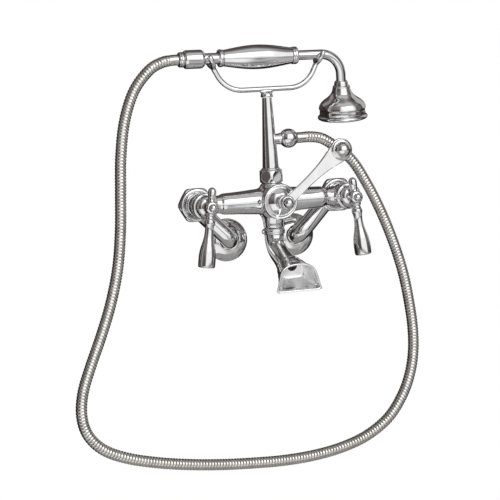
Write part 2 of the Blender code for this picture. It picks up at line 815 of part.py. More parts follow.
def hand_shower():
    pivot = axis_empty("hand_shower_axis", (0, BAR_Y, HAND_Z), (HEAD_BACK, HAND_TILT, 0))
    ferrule = [(4.2, -106.3), (8.4, -106.3), (9.1, -105.4), (9.1, -100.9), (8.4, -100.2), (4.2, -100.2)]
    place("hose_ferrule", turned(ferrule, ring=True), "chrome", turn=RIGHT, parent=pivot)
    nut = [
        (7.0, -99.9),
        (9.6, -99.9),
        (11.1, -97.4),
        (11.1, -78.6),
        (9.2, -75.2),
        (7.0, -75.2),
    ]
    place("hand_shower_nut", turned(nut, ring=True), "chrome", turn=RIGHT, parent=pivot)
    neck = washer(4.4, NECK_R, -97, -53.4)
    place("hand_shower_neck", neck, "chrome", turn=RIGHT, parent=pivot)
    rear = [(7.0, -57.8), (9.6, -57.8), (10.6, -56.8), (10.6, -53.2), (9.8, -52.2), (7.0, -52.2)]
    place("grip_rear_collar", turned(rear, ring=True), "chrome", turn=RIGHT, parent=pivot)
    stops = [-51.9 + 84.8 * i / 7 for i in range(8)]
    belly = [(9.7 + 4.9 * math.cos(math.pi / 2 * (x + 9.5) / 42.4) ** 1.1, x) for x in stops]
    hold = [(6.2, stops[0]), *belly, (6.2, stops[-1])]
    place("hand_shower_grip", turned(hold, ring=True), "chrome", turn=RIGHT, parent=pivot)
    front = [(6.2, 33.2), (9.8, 33.2), (10.5, 34.4), (10.5, 39.2), (9.0, 40.8), (6.2, 40.8)]
    place("grip_front_collar", turned(front, ring=True), "chrome", turn=RIGHT, parent=pivot)
    head = Vector((HEAD_X, 0, 0))
    head_way = Vector((math.sin(math.radians(HEAD_OUT)), 0, -math.cos(math.radians(HEAD_OUT))))
    route = [
        (-48, 0, 0),
        (30, 0, 0),
        *bend(head, (1, 0, 0), head_way, BEND_R, 5),
        head + head_way * (HEAD_TOP + 6),
    ]
    tube = place(
        "hand_shower_tube", pipe(route, TUBE_R, (0, 1, 0), 12), "chrome", parent=pivot
    )
    inner = [(-50, 0, 0), *route[1:-1], head + head_way * (HEAD_TOP + 8)]
    bore = helper("hand_tube_bore", pipe(inner, TUBE_R - 1.4, (0, 1, 0), 10), parent=pivot)
    combine(tube, "DIFFERENCE", bore)
    shower_head(pivot)


def shower_head(pivot):
    """The bell, its rim ring and the spray face; heights are measured down from the grip's axis."""
    top = -HEAD_TOP
    outside = [
        (7.2, top),
        (8.6, top - 3.0),
        (8.9, top - 5.4),
        (10.5, top - 6.4),
        (10.9, top - 8.6),
        (11.8, top - 13.0),
        (13.6, top - 16.0),
        (17.4, top - 19.4),
        (22.4, top - 23.0),
        (26.4, top - 27.0),
        (28.4, top - 31.0),
        (28.6, top - 33.6),
        (27.7, top - 35.4),
        (28.0, top - 41.0),
    ]
    inside = [
        (25.4, top - 41.0),
        (25.4, top - 33.0),
        (22.0, top - 27.5),
        (12.0, top - 19.0),
        (7.6, top - 13.0),
        (6.2, top - 9.0),
        (6.2, top),
    ]
    low = top - 41.0 - GAP
    rim = [
        (25.6, low),
        (28.6, low),
        (HEAD_R, low - 1.6),
        (HEAD_R, low - 3.8),
        (29.0, low - 5.2),
        (25.6, low - 5.2),
    ]
    face = [
        (0, top - 37.0),
        (25.0, top - 37.0),
        (25.0, low - 4.0),
        (20.0, low - 4.8),
        (0, low - 5.4),
    ]
    hollow = [(0, top - 35.0), (23.4, top - 35.0), (23.4, low - 2.4), (0, low - 3.0)]
    corner, lean = (HEAD_X, 0, 0), (0, -HEAD_OUT, 0)
    bell = turned(outside + inside, MANY, ring=True)
    place("shower_bell", bell, "chrome", corner, lean, pivot)
    place("shower_rim_ring", turned(rim, MANY, ring=True), "chrome", corner, lean, pivot)
    plate = place("spray_face", turned(face, MANY), "spray_plate", corner, lean, pivot)
    combine(
        plate, "DIFFERENCE", helper("spray_hollow", turned(hollow, MANY), corner, lean, pivot)
    )


# ---------------------------------------------------------------- hose


def hose():
    """The flexible metal hose as a plain round tube along its hanging loop."""
    curve = bpy.data.curves.new("hose", "CURVE")
    curve.dimensions = "3D"
    curve.bevel_depth = HOSE_R * MM
    curve.bevel_resolution = 2
    curve.use_fill_caps = True
    points = smooth_route(HOSE_ROUTE, HOSE_POINTS)
    spline = curve.splines.new("POLY")
    spline.points.add(len(points) - 1)
    for slot, point in zip(spline.points, points):
        slot.co = (*(point * MM), 1)
    obj = bpy.data.objects.new("hose", curve)
    curve.materials.append(own_material("hose", "hose_steel"))
    bpy.context.scene.collection.objects.link(obj)


# ---------------------------------------------------------------- assembly


clear_scene()
valve_body()
for side_name, side_sign in (("left", -1), ("right", 1)):
    valve(side_name, side_sign)
    handle(side_name, side_sign)
    swing_arm(side_name, side_sign)
diverter()
riser()
cradle()
spout()
hand_shower()
hose()
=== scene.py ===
"""Looks of the wall mounted bath faucet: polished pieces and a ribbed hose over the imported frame.

Sizes are in millimetres and angles in degrees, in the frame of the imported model: the origin is
on the wall plane midway between the inlets, +X to the right, +Y into the wall and +Z up.
"""

import json
import math

import bmesh
import bpy
from mathutils import Euler, Matrix, Vector


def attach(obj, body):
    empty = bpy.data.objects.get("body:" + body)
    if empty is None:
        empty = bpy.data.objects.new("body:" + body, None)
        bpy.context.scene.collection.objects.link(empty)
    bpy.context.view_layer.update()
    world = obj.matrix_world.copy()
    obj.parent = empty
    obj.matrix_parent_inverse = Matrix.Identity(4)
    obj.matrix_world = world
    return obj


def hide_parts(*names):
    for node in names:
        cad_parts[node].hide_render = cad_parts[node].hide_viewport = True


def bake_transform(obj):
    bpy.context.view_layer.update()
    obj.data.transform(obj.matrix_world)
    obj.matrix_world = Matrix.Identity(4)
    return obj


MM = 0.001
FORWARD = (90, 0, 0)  # turns +Z to -Y, out of the wall
RIGHT = (0, 90, 0)  # turns +Z to +X

# Driving sizes, the same as the frame's
VALVE_X = 88.9
VALVE_Z = 48.0
INLET_X = 42.9
BAR_Y = -58.0
BAR_R = 12.5
BAR_NECK_R = 10.7
BARREL_R = 14.9
ARM_Y = -21.5
NUT_BACK_Y = -33.4
NUT_FRONT_Y = -44.6
VALVE_FRONT_Y = -78.0
HUB_Y = -101.5
HANDLE_LEAN = {"left": 7.8, "right": 6.0}
BEZEL_R = 21.2
BEZEL_BACK_Y = -85.0
LEVER_Y = -112.0
LEVER_ANGLE = 39.2
LEVER_LENGTH = 91.0
RISER_NUT_Z = 69.0
RISER_NUT_H = 18.0
POST_BOTTOM_R = 9.6
POST_TOP_R = 5.7
POST_TOP_Z = 170.8
OUTLET_Z = 121.0
YOKE_Z = 181.0
YOKE_R = 3.1
YOKE_CORNER_X = 50.0
YOKE_BEND_R = 34.0
SADDLE_X = 65.0
SADDLE_Z = 209.9
SPOUT_SCREW_Z = -1.5
SCOOP_START = 0.86
BORE_R = 5.6
BORE_RISE = 5.2
LIP_R = 1.3
SPOUT_SKIN = 0.3  # how far the drawn spout lies inside its solid
MOUTH_WALL = 2.8
MOUTH_POINTS = 72  # round each section of the spout
HAND_Z = 219.5
HAND_TILT = 0.4
HEAD_BACK = 9.0
HEAD_OUT = 3.5
TUBE_R = 5.8
BEND_R = 26.0
HEAD_X = 95.2
HEAD_TOP = 33.0

# The room that the metal mirrors: (elevation in degrees, brightness) in front and behind, and
# soft boxes as (azimuth, half width), (elevation, half height), soft edge in degrees and
# brightness. Azimuth 0 is straight in front of the wall, and it grows to the right.
ROOM_FRONT = [
    (-90, 0.14),
    (-62, 0.22),
    (-50, 0.38),
    (-13, 0.38),
    (-11, 0.05),
    (-7, 0.07),
    (10, 0.12),
    (80, 0.22),
]
ROOM_BEHIND = [
    (-90, 0.12),
    (-72, 0.04),
    (-50, 0.012),
    (-8, 0.02),
    (0, 0.03),
    (30, 0.06),
    (68, 0.08),
    (90, 0.20),
]
SOFT_BOXES = [
    ((0, 58), (64, 10), 12, 0.5),
    ((0, 50), (50, 1), 6, 0.12),
    ((9, 30), (20, 25), 16, 0.95),
    ((-24, 26), (-34, 17), 16, 0.9),
    ((118, 14), (25, 22), 12, 0.45),
    ((-145, 10), (42, 12), 12, 0.25),
    ((-88, 5), (20, 30), 8, 0.3),
]

HOSE_R = 6.7
HOSE_PITCH = 3.6  # from one ring of the hose to the next
HOSE_ROUTE = [
    (34.3, -58.0, 121.0),
    (40.0, -58.0, 121.0),
    (53.0, -58.0, 121.0),
    (67.0, -58.5, 118.0),
    (82.0, -59.0, 108.5),
    (95.0, -59.5, 98.0),
    (106.0, -60.0, 86.0),
    (119.0, -60.0, 64.0),
    (131.8, -60.5, 38.0),
    (144.0, -61.0, 8.0),
    (155.0, -61.5, -25.0),
    (162.8, -62.0, -56.0),
    (168.0, -62.0, -88.0),
    (171.0, -62.5, -120.0),
    (170.0, -63.0, -150.0),
    (164.0, -63.0, -178.0),
    (152.0, -63.5, -204.0),
    (132.0, -64.0, -229.0),
    (103.0, -64.0, -247.5),
    (70.0, -64.5, -258.0),
    (34.0, -64.5, -263.5),
    (-4.0, -65.0, -265.0),
    (-44.0, -65.0, -263.5),
    (-84.0, -65.0, -260.5),
    (-124.0, -65.0, -255.5),
    (-162.0, -65.0, -248.5),
    (-197.0, -65.0, -239.0),
    (-224.0, -64.5, -226.0),
    (-241.0, -64.5, -207.0),
    (-247.0, -64.5, -184.0),
    (-244.0, -64.0, -158.0),
    (-234.0, -64.0, -130.0),
    (-219.0, -63.5, -95.0),
    (-205.0, -63.0, -58.0),
    (-194.0, -62.5, -17.0),
    (-188.0, -62.0, 26.0),
    (-185.0, -61.5, 70.0),
    (-182.0, -61.0, 112.0),
    (-175.0, -60.0, 152.0),
    (-162.0, -59.5, 186.0),
    (-143.0, -59.0, 209.0),
    (-127.0, -58.5, 217.8),
    (-113.0, -58.0, 220.2),
    (-107.0, -58.0, 220.25),
]

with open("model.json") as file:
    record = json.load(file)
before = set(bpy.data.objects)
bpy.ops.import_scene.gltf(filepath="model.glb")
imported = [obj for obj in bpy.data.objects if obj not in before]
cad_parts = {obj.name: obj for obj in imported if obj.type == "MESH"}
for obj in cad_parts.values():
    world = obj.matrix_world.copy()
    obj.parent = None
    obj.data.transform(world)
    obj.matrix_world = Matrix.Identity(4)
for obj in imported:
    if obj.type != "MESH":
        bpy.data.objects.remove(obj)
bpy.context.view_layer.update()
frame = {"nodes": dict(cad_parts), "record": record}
BODY_OF = {
    node: body
    for body, nodes in frame["record"]["behaviour"]["bodies"].items()
    for node in nodes
}


# ---------------------------------------------------------------- camera


def camera():
    """A long lens from the user's left, a little above the valves, rolled slightly."""
    azimuth, elevation, roll = math.radians(-18), math.radians(3.97), math.radians(3.06)
    target = Vector((0, -60, 46)) * MM
    distance = 1.9705
    back = Vector(
        (
            math.sin(azimuth) * math.cos(elevation),
            -math.cos(azimuth) * math.cos(elevation),
            math.sin(elevation),
        )
    )
    right = Vector((math.cos(azimuth), math.sin(azimuth), 0))
    up = back.cross(right)
    across = math.cos(roll) * right - math.sin(roll) * up
    upward = math.sin(roll) * right + math.cos(roll) * up
    place = target + back * distance
    lens = bpy.data.cameras.new("camera")
    lens.sensor_width = 36
    lens.lens = 118.9
    lens.shift_x = -0.0459
    lens.shift_y = -0.0956
    obj = bpy.data.objects.new("camera", lens)
    turn = Matrix((across, upward, back)).transposed().to_4x4()
    obj.matrix_world = Matrix.Translation(place) @ turn
    bpy.context.scene.collection.objects.link(obj)
    bpy.context.scene.camera = obj


# ---------------------------------------------------------------- materials


def grey(level):
    """A neutral grey; the dark ones are a little warm."""
    warm = 0.18 * max(0.0, 1 - level / 0.3)
    return (level * (1 + warm), level * (1 - 0.3 * warm), level * (1 - 0.8 * warm))


def new_material(name):
    """A new material with its nodes, its links and its shader."""
    material = bpy.data.materials.new(name)
    material.use_nodes = True
    nodes = material.node_tree.nodes
    return material, nodes, material.node_tree.links, nodes["Principled BSDF"]


def noise(nodes, links, scale, detail):
    """A noise texture in the piece's own coordinates, with its scale in features per metre."""
    place = nodes.new("ShaderNodeTexCoord")
    texture = nodes.new("ShaderNodeTexNoise")
    texture.inputs["Scale"].default_value = scale
    texture.inputs["Detail"].default_value = detail
    links.new(place.outputs["Object"], texture.inputs["Vector"])
    return texture


def spread(nodes, links, source, low, high):
    """A noise's values stretched from low to high."""
    stretch = nodes.new("ShaderNodeMapRange")
    stretch.inputs["From Min"].default_value = 0.3
    stretch.inputs["From Max"].default_value = 0.7
    stretch.inputs["To Min"].default_value = low
    stretch.inputs["To Max"].default_value = high
    links.new(source.outputs["Fac"], stretch.inputs["Value"])
    return stretch.outputs["Result"]


def bumpy(nodes, links, shader, source, strength, distance):
    """Lets a noise tilt the surface by bumps of this height in mm."""
    bump = nodes.new("ShaderNodeBump")
    bump.inputs["Strength"].default_value = strength
    bump.inputs["Distance"].default_value = distance * MM
    links.new(source.outputs["Fac"], bump.inputs["Height"])
    links.new(bump.outputs["Normal"], shader.inputs["Normal"])


def metal(name, light, dark, rough, waviness, wave_scale=60.0):
    """A polished or satin metal whose tint, gloss and surface wander a little."""
    material, nodes, links, shader = new_material(name)
    shader.inputs["Metallic"].default_value = 1.0
    cloud = noise(nodes, links, 90.0, 3.0)
    tint = nodes.new("ShaderNodeValToRGB")
    tint.color_ramp.elements[0].position = 0.35
    tint.color_ramp.elements[0].color = (*dark, 1)
    tint.color_ramp.elements[1].position = 0.62
    tint.color_ramp.elements[1].color = (*light, 1)
    links.new(cloud.outputs["Fac"], tint.inputs["Fac"])
    links.new(tint.outputs["Color"], shader.inputs["Base Color"])
    smear = noise(nodes, links, 35.0, 2.0)
    links.new(spread(nodes, links, smear, *rough), shader.inputs["Roughness"])
    wave = noise(nodes, links, wave_scale, 1.0)
    bumpy(nodes, links, shader, wave, 0.5, waviness)
    return material


def plain(name, light, dark, rough, scale, depth):
    """A non-metal with a faint mottle and grain."""
    material, nodes, links, shader = new_material(name)
    cloud = noise(nodes, links, scale, 4.0)
    tint = nodes.new("ShaderNodeValToRGB")
    tint.color_ramp.elements[0].position = 0.3
    tint.color_ramp.elements[0].color = (*dark, 1)
    tint.color_ramp.elements[1].position = 0.7
    tint.color_ramp.elements[1].color = (*light, 1)
    links.new(cloud.outputs["Fac"], tint.inputs["Fac"])
    links.new(tint.outputs["Color"], shader.inputs["Base Color"])
    links.new(spread(nodes, links, cloud, *rough), shader.inputs["Roughness"])
    bumpy(nodes, links, shader, cloud, 0.4, depth)
    return material


FINISH = {
    "chrome": metal("chrome", (0.93, 0.93, 0.94), (0.86, 0.86, 0.87), (0.03, 0.09), 0.012),
    "hose_steel": metal("hose_steel", (0.86, 0.84, 0.80), (0.72, 0.70, 0.66), (0.16, 0.24), 0.01),
    "brass": metal("brass", (0.78, 0.60, 0.30), (0.66, 0.47, 0.21), (0.22, 0.36), 0.02),
    "spray_plate": metal("spray_plate", (0.72, 0.73, 0.74), (0.60, 0.61, 0.62), (0.16, 0.28), 0.01),
    "rubber": plain("rubber", (0.045, 0.045, 0.045), (0.02, 0.02, 0.02), (0.65, 0.85), 400.0, 0.05),
    "ceramic": plain("ceramic", (0.90, 0.89, 0.86), (0.84, 0.83, 0.79), (0.12, 0.25), 250.0, 0.01),
}
# Satin chrome for the hollow of the spout. The satin part is only roughness; its lighter tint than
# the chrome is painted light that keeps the scoop white.
LIGHTENED_SATIN = metal("satin_chrome_painted_light", (0.98, 0.98, 0.98), (0.95, 0.95, 0.95), (0.36, 0.44), 0.02)
CAST = metal("cast_chrome", (0.92, 0.92, 0.93), (0.84, 0.84, 0.85), (0.04, 0.11), 0.05, 110.0)


# ---------------------------------------------------------------- shape helpers


def at(place=(0, 0, 0), turn=(0, 0, 0)):
    """The matrix of a place in mm and a turn in degrees."""
    spin = Euler([math.radians(angle) for angle in turn]).to_matrix().to_4x4()
    return Matrix.Translation(Vector(place)) @ spin


def arc(centre, radius, start, end, count=12):
    """Points of an arc from the start to the end angle in degrees."""
    angles = [math.radians(start + (end - start) * i / count) for i in range(count + 1)]
    return [(centre[0] + radius * math.cos(a), centre[1] + radius * math.sin(a)) for a in angles]


def eased(points, radius, ring=False, count=4):
    """The outline with its corners rounded; a large radius turns it into one flowing curve."""
    points = [Vector(point) for point in points]
    last = len(points) - 1
    out = []
    for i, corner in enumerate(points):
        if not ring and i in (0, last):
            out.append(corner)
            continue
        before, after = points[i - 1], points[(i + 1) % (last + 1)]
        to_before, to_after = before - corner, after - corner
        reach = min(radius, 0.5 * to_before.length, 0.5 * to_after.length)
        start = corner + to_before.normalized() * reach
        end = corner + to_after.normalized() * reach
        for k in range(count + 1):
            t = k / count
            out.append(start * (1 - t) ** 2 + corner * 2 * t * (1 - t) + end * t**2)
    return out


def lathe(points, steps=72, ring=False):
    """A shape turned about +Z from (radius, height) points."""
    shape = bmesh.new()
    verts = [shape.verts.new((radius, 0, height)) for radius, height in points]
    edges = [shape.edges.new(pair) for pair in zip(verts, verts[1:])]
    if ring:
        edges.append(shape.edges.new((verts[-1], verts[0])))
    bmesh.ops.spin(
        shape, geom=verts + edges, axis=(0, 0, 1), cent=(0, 0, 0), steps=steps, angle=math.tau
    )
    bmesh.ops.remove_doubles(shape, verts=shape.verts, dist=1e-3)
    return shape


def loft(sections, caps=True):
    """A shape skinned through closed sections of equal point count."""
    shape = bmesh.new()
    rings = [[shape.verts.new(point) for point in section] for section in sections]
    count = len(rings[0])
    for lower, upper in zip(rings, rings[1:]):
        for i in range(count):
            j = (i + 1) % count
            shape.faces.new((lower[i], lower[j], upper[j], upper[i]))
    if caps:
        shape.faces.new(rings[0])
        shape.faces.new(rings[-1])
    return shape


def oval(across, deep, height, steps=48):
    """A level oval section for a loft."""
    turns = [math.tau * i / steps for i in range(steps)]
    return [Vector((across * math.cos(a), deep * math.sin(a), height)) for a in turns]


def sweep(path, radii, normal, sides=32):
    """A round bar along a path in the plane with this normal, with one radius or one per point."""
    normal = Vector(normal).normalized()
    path = [Vector(point) for point in path]
    if not isinstance(radii, list):
        radii = [radii] * len(path)
    sections = []
    for i, centre in enumerate(path):
        way = (path[min(i + 1, len(path) - 1)] - path[max(i - 1, 0)]).normalized()
        across = way.cross(normal)
        turns = [math.tau * k / sides for k in range(sides)]
        sections.append(
            [centre + radii[i] * (math.cos(a) * normal + math.sin(a) * across) for a in turns]
        )
    return loft(sections)


def bend(corner, start_way, end_way, radius, count=20):
    """Points that round a corner of a path with an arc between its two directions."""
    start_way, end_way = Vector(start_way).normalized(), Vector(end_way).normalized()
    turn = start_way.angle(end_way)
    start = Vector(corner) - start_way * radius * math.tan(turn / 2)
    across = (end_way - start_way * start_way.dot(end_way)).normalized()
    steps = [turn * i / count for i in range(count + 1)]
    return [start + radius * (math.sin(t) * start_way + (1 - math.cos(t)) * across) for t in steps]


def turned_hex(flats, profile, steps=144):
    """A hexagon about +Z, cut back at each height to the radius of a (radius, height) profile."""
    sections = []
    for radius, height in profile:
        section = []
        for i in range(steps):
            angle = math.tau * i / steps
            off = (math.degrees(angle) + 30) % 60 - 30
            reach = min(flats / 2 / math.cos(math.radians(off)), radius)
            section.append((reach * math.cos(angle), reach * math.sin(angle), height))
        sections.append(section)
    return loft(sections)


def joined(*shapes):
    """Several shapes, each a (shape, matrix) pair or a shape, as one."""
    whole = bmesh.new()
    for item in shapes:
        shape, matrix = item if isinstance(item, tuple) else (item, Matrix())
        shape.transform(matrix)
        mesh = bpy.data.meshes.new("joined")
        shape.to_mesh(mesh)
        shape.free()
        whole.from_mesh(mesh)
        bpy.data.meshes.remove(mesh)
    return whole


def piece(name, shape, matrix, *nodes, slot="chrome", material=None, sharp=38, ride=True):
    """Adds a piece that stands for these frame nodes and moves with them."""
    bmesh.ops.recalc_face_normals(shape, faces=shape.faces)
    shape.transform(Matrix.Scale(MM, 4) @ matrix)
    mesh = bpy.data.meshes.new(name)
    shape.to_mesh(mesh)
    shape.free()
    mesh.shade_smooth()
    mesh.set_sharp_from_angle(angle=math.radians(sharp))
    mesh.materials.append(material or FINISH[slot])
    obj = bpy.data.objects.new(name, mesh)
    bpy.context.scene.collection.objects.link(obj)
    if ride:
        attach(obj, BODY_OF[nodes[0]])
    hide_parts(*nodes)
    return obj


def cast(obj, voxel, rounds):
    """Fuses a piece's overlapping shapes and melts the seams between them into fillets."""
    fuse = obj.modifiers.new("fuse", "REMESH")
    fuse.mode = "VOXEL"
    fuse.voxel_size = voxel * MM
    fuse.use_smooth_shade = True
    melt = obj.modifiers.new("melt", "SMOOTH")
    melt.factor = 0.5
    melt.iterations = rounds
    graph = bpy.context.evaluated_depsgraph_get()
    mesh = bpy.data.meshes.new_from_object(obj.evaluated_get(graph))
    obj.modifiers.clear()
    obj.data = mesh


# ---------------------------------------------------------------- hose


def smooth_line(points, step):
    """Points a step apart along a Catmull-Rom curve through the route, with straight end runs."""
    points = [Vector(point) for point in points]
    fine = [points[0]]
    for a, b, c, d in zip(points, points[1:], points[2:], points[3:]):
        for i in range(24):
            t = i / 24
            fine.append(
                0.5
                * (
                    2 * b
                    + (c - a) * t
                    + (2 * a - 5 * b + 4 * c - d) * t**2
                    + (3 * b - a - 3 * c + d) * t**3
                )
            )
    fine += points[-2:]
    reach = [0.0]
    for a, b in zip(fine, fine[1:]):
        reach.append(reach[-1] + (b - a).length)
    count = round(reach[-1] / step)
    line = []
    k = 0
    for i in range(count + 1):
        want = reach[-1] * i / count
        while k < len(reach) - 2 and reach[k + 1] < want:
            k += 1
        line.append(fine[k].lerp(fine[k + 1], (want - reach[k]) / (reach[k + 1] - reach[k])))
    return line, reach[-1]


def hose():
    """The metal hose: round rings with a thin groove between each pair, plain at both ends."""
    rings = 6
    line, length = smooth_line(HOSE_ROUTE, HOSE_PITCH / rings)
    crown = [0.0, 0.62, 0.95, 1.0, 0.95, 0.62]
    depth = 0.5
    sections = []
    sides = 22
    normal = Vector((0, 1, 0))
    last = len(line) - 1
    for i, centre in enumerate(line):
        way = (line[min(i + 1, last)] - line[max(i - 1, 0)]).normalized()
        across = way.cross(normal).normalized()
        front = across.cross(way)
        groove = depth * (1 - crown[i % rings])
        plain_end = min(i, last - i) < 3 * rings
        radius = HOSE_R - (0.25 if plain_end else groove)
        turns = [math.tau * k / sides for k in range(sides)]
        sections.append(
            [centre + radius * (math.cos(a) * front + math.sin(a) * across) for a in turns]
        )
    skin = loft(sections)
    obj = piece("ribbed_hose", skin, Matrix(), "hose", slot="hose_steel", sharp=50, ride=False)
    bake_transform(obj)


# ---------------------------------------------------------------- valve body


def valve_body():
    """The casting of crossbar, necks and diverter boss, and the two turned valve barrels."""
    half_bar = [(BAR_R + 3.6 * math.exp(-((x / 38) ** 2)), x) for x in (6, 16, 28, 40, 52, 61)]
    half_bar = eased(half_bar, 99) + [(12.4, 62.8), (12.0, 63.8)]
    cove = [(12.0, 63.8), (11.5, 64.4), (BAR_NECK_R, 66.4), (BAR_NECK_R, 71), (12.4, 77)]
    half_bar += eased(cove, 99)
    half_bar += [(12.4, 79), (0, 79)]
    bar = [(r, -x) for r, x in half_bar[::-1]] + half_bar
    necks = [
        (0, -33),
        (12.2, -33),
        (12.5, -25),
        (13.6, -20),
        (16.2, -16),
        (20, -12.4),
        (20.6, 0),
        (20, 11),
        (16.6, 14.4),
        (14.2, 17.4),
        (13.2, RISER_NUT_Z - 0.3 - VALVE_Z),
        (0, RISER_NUT_Z - 0.3 - VALVE_Z),
    ]
    boss = [(0, 3), (17.4, 3), (17.4, 26.7), (0, 26.7)]
    foot, top = 11.5, RISER_NUT_Z - 0.3 - VALVE_Z
    shoulder = []
    for i in range(17):
        rise = i / 16
        across = 12.9 + 17.0 * (1 - rise) ** 2.2
        deep = 7.5 + 5.4 * rise
        shoulder.append(oval(across, deep, foot + (top - foot) * rise))
    centre = (0, BAR_Y, VALVE_Z)
    obj = piece(
        "valve_casting",
        joined(
            (lathe(bar), at(centre, RIGHT)),
            (lathe(eased(necks, 2.5)), at(centre)),
            (lathe(boss), at(centre, FORWARD)),
            (loft(shoulder), at(centre)),
        ),
        Matrix(),
        "valve_body",
        material=CAST,
    )
    cast(obj, 0.8, 14)
    for side, sign in (("left", -1), ("right", 1)):
        barrel = [(0, 38.9), (12, 38.9), (12, 44.9), (14.2, 44.9), (14.2, 48.2), (BARREL_R, 48.9)]
        barrel += [(BARREL_R, 66.0), (BARREL_R - 0.25, 66.3), (BARREL_R, 66.6)]
        barrel += [(BARREL_R, 69.8), (14.3, 70.4), (14.3, 71.2), (BARREL_R, 71.8)]
        barrel += [(BARREL_R, 77.4), (14.2, -VALVE_FRONT_Y), (0, -VALVE_FRONT_Y)]
        piece(
            f"{side}_valve_barrel",
            lathe(eased(barrel, 0.3, count=2)),
            at((sign * VALVE_X, 0, VALVE_Z), FORWARD),
            "valve_body",
        )


# ---------------------------------------------------------------- valves and handles


def valve(side, sign):
    """The hexagon nut behind a valve, and the ring and bell of its bonnet in front."""
    axis = (sign * VALVE_X, 0, VALVE_Z)
    back, front = -NUT_BACK_Y, -NUT_FRONT_Y
    flats = 39.4
    rim = 21.9
    rounds = [
        (11.4, back),
        (18.4, back),
        (20.4, back + 0.8),
        (rim, back + 2.2),
        (rim, front - 3.0),
        (21.0, front - 2.2),
        (19.9, front - 1.7),
        (19.6, front - 0.9),
        (18.9, front - 0.2),
        (17.8, front),
        (16.6, front - 0.3),
        (15.8, front - 1.2),
        (15.4, front - 2.2),
        (12.9, front - 2.2),
    ]
    nut = turned_hex(flats, eased(rounds, 0.6, count=3))
    piece(f"{side}_hex_nut", nut, at(axis, (90, 30, 0)), f"{side}_union_nut", sharp=28)

    base = -VALVE_FRONT_Y + 0.3
    ring = [
        (9.8, base),
        (14.6, base),
        (15.6, base + 0.9),
        (15.6, base + 2.9),
        (14.6, base + 3.8),
        (9.8, base + 3.8),
    ]
    piece(
        f"{side}_bright_ring",
        lathe(eased(ring, 0.8, True), ring=True),
        at(axis, FORWARD),
        f"{side}_bonnet_ring",
    )
    base += 4.1
    bell = [
        (4.7, base),
        (13.2, base),
        (13.4, base + 1.2),
        *arc((5.6, base + 1.6), 7.9, 4, 72, 10),
        (7.0, base + 9.6),
        (6.4, base + 10.6),
        (4.7, base + 10.6),
    ]
    piece(
        f"{side}_bonnet_bell",
        lathe(eased(bell, 0.5, True), ring=True),
        at(axis, FORWARD),
        f"{side}_bonnet",
    )


def handle(side, sign):
    """A lever handle: hub with its short upper finger, bottle-shaped grip and front button."""
    lean = -sign * HANDLE_LEAN[side]
    pivot = at((sign * VALVE_X, HUB_Y, VALVE_Z), (0, lean, 0))
    hub = [
        (0, -8.2),
        (6.0, -8.2),
        (7.4, -6.6),
        (8.4, -3.2),
        (8.4, 3.6),
        (7.6, 6.6),
        (6.6, 7.8),
        (5.2, 8.4),
        (0, 8.4),
    ]
    finger = [(0, 0), (4.4, 0), (4.3, 9), (4.4, 11), (4.9, 14), (4.9, 18.6)]
    finger = eased(finger, 99) + arc((0, 18.6), 4.9, 8, 90)
    neck = [(0, -13.6), (5.2, -13.6), (5.2, -11.2), (4.6, -10.6), (6.2, -9.4), (6.2, -7), (0, 0)]
    piece(
        f"{side}_lever_hub",
        joined(
            (lathe(eased(hub, 1.6)), at(turn=FORWARD)),
            (lathe(finger, 40), Matrix()),
            (lathe(eased(neck, 0.5), 48), Matrix()),
        ),
        pivot,
        f"{side}_handle_hub",
    )
    foot = [(0, -69.3), (9.1, -69.3), (9.9, -68.0), (10.0, -65), (10.0, -55.8)]
    flare = [
        (10.0, -55.8),
        (9.7, -53.4),
        (8.8, -47.2),
        (7.1, -41.4),
        (5.9, -36),
        (5.3, -32),
        (5.0, -27),
        (5.1, -23.4),
        (5.6, -20.6),
        (6.3, -18.8),
        (6.4, -16.4),
        (6.2, -14.4),
        (5.6, -13.9),
    ]
    grip = [*eased(foot, 1.4), *eased(flare, 99)[1:], (0, -13.9)]
    piece(f"{side}_grip_lever", lathe(grip), pivot, f"{side}_lever_grip")
    button = [(0, 8.7), (4.9, 8.7), (5.0, 9.6), *arc((0, 8.8), 5.0, 14, 90)]
    piece(
        f"{side}_button_cap",
        lathe(button, 40),
        pivot @ at(turn=FORWARD),
        f"{side}_handle_button",
    )


# ---------------------------------------------------------------- swing arms


def swing_arm(side, sign):
    """The bent arm from a valve to the wall, and its round wall flange."""
    pivot = at((sign * VALVE_X, ARM_Y, VALVE_Z))
    across = Vector((sign * (VALVE_X - INLET_X), 0, VALVE_Z))
    along = across.normalized()
    inlet = -across
    out = Vector((0, -1, 0))
    wall = inlet + Vector((0, -ARM_Y, 0))
    tail = Vector((0, -36.2 - ARM_Y, 0))
    path = [
        wall + out * 0.4,
        *bend(inlet, out, along, 11.5),
        *bend((0, 0, 0), along, out, 11.5),
        tail,
    ]
    normal = along.cross(out)
    piece(f"{side}_inlet_arm", sweep(path, 10.5, normal, 48), pivot, f"{side}_swing_arm")
    flange = [
        (11.2, 0),
        (25.9, 0),
        (26.4, 0.9),
        (26.1, 2.1),
        (25.0, 3.2),
        (22.0, 5.6),
        (18.0, 7.9),
        (14.4, 9.0),
        (12.4, 9.4),
        (11.2, 9.4),
    ]
    piece(
        f"{side}_wall_rosette",
        lathe(eased(flange, 1.6, True), ring=True),
        pivot @ at(wall, FORWARD),
        f"{side}_wall_flange",
        material=CAST,
    )


# ---------------------------------------------------------------- diverter


